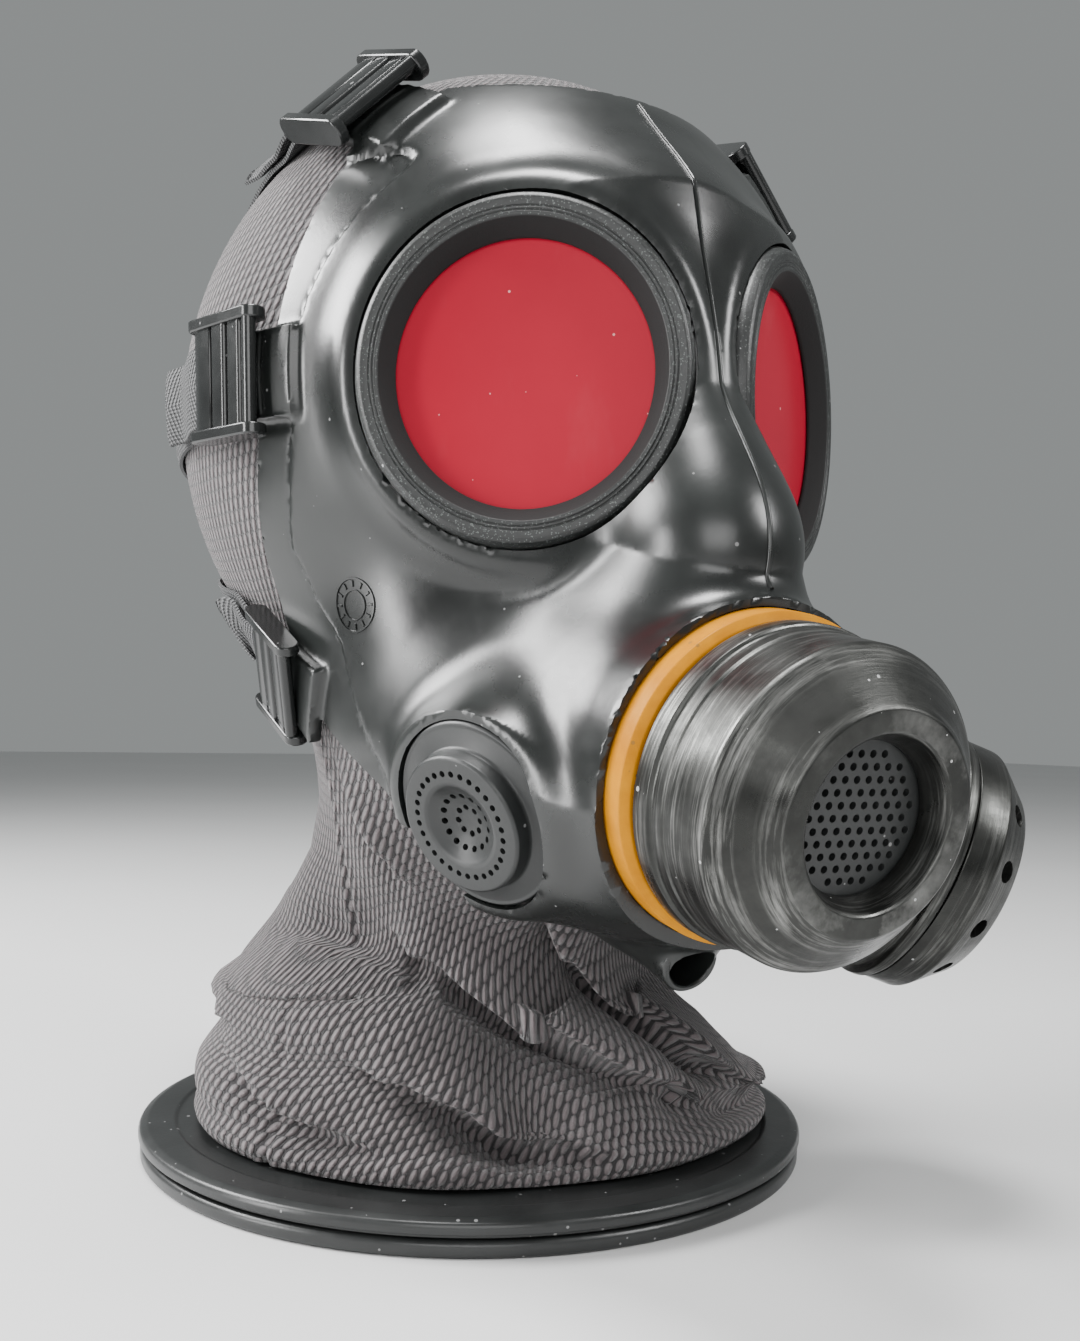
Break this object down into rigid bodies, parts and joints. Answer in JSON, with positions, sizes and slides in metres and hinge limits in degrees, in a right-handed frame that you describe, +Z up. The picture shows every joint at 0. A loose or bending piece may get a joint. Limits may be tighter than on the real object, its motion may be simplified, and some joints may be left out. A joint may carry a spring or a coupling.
{
  "type": "gas mask style costume mask with knitted hood on a round display stand",
  "caption": "Rubber full-face costume mask with round eyepieces, canisters and buckled straps over a knitted hood on a round stand",
  "frame": {"origin": "centre of the stand's underside, on the surface that it stands on", "axes": "+Z up, the mask faces -Y, the wearer's right is at -X, and the face's mid-plane is x = 0"},
  "size_m": [0.1929, 0.2721, 0.2845],
  "materials": {
    "stand_plastic": "satin",
    "hood_knit": "open waffle knit",
    "black_rubber": "glossy moulded rubber, dusty",
    "yellow_paint": "satin amber-yellow",
    "gunmetal": "worn dark metallic",
    "black_plastic": "semi-matte moulded",
    "bezel_plastic": "fine sparkling grain",
    "red_lens": "glossy coral red, dusty",
    "buckle_plastic": "glossy black",
    "strap_webbing": "ribbed woven webbing"
  },
  "bodies": {
    "root": {"stand_lower_disc": "stand_plastic", "stand_upper_disc": "stand_plastic", "hood_crown": "hood_knit", "hood_skirt": "hood_knit", "facepiece": "black_rubber", "port_ring": "yellow_paint", "front_canister": "gunmetal", "front_grille": "black_plastic", "voice_port": "black_plastic", "side_canister_body": "gunmetal", "side_canister_cap": "gunmetal", "temple_strap": "strap_webbing", "cheek_strap": "strap_webbing", "eye_bezel_right": "bezel_plastic", "eye_lens_right": "red_lens", "top_strap_right": "strap_webbing", "temple_buckle_right": "buckle_plastic", "cheek_buckle_right": "buckle_plastic", "top_buckle_right": "buckle_plastic", "eye_bezel_left": "bezel_plastic", "eye_lens_left": "red_lens", "top_strap_left": "strap_webbing", "temple_buckle_left": "buckle_plastic", "cheek_buckle_left": "buckle_plastic", "top_buckle_left": "buckle_plastic"}
  },
  "joints": []
}
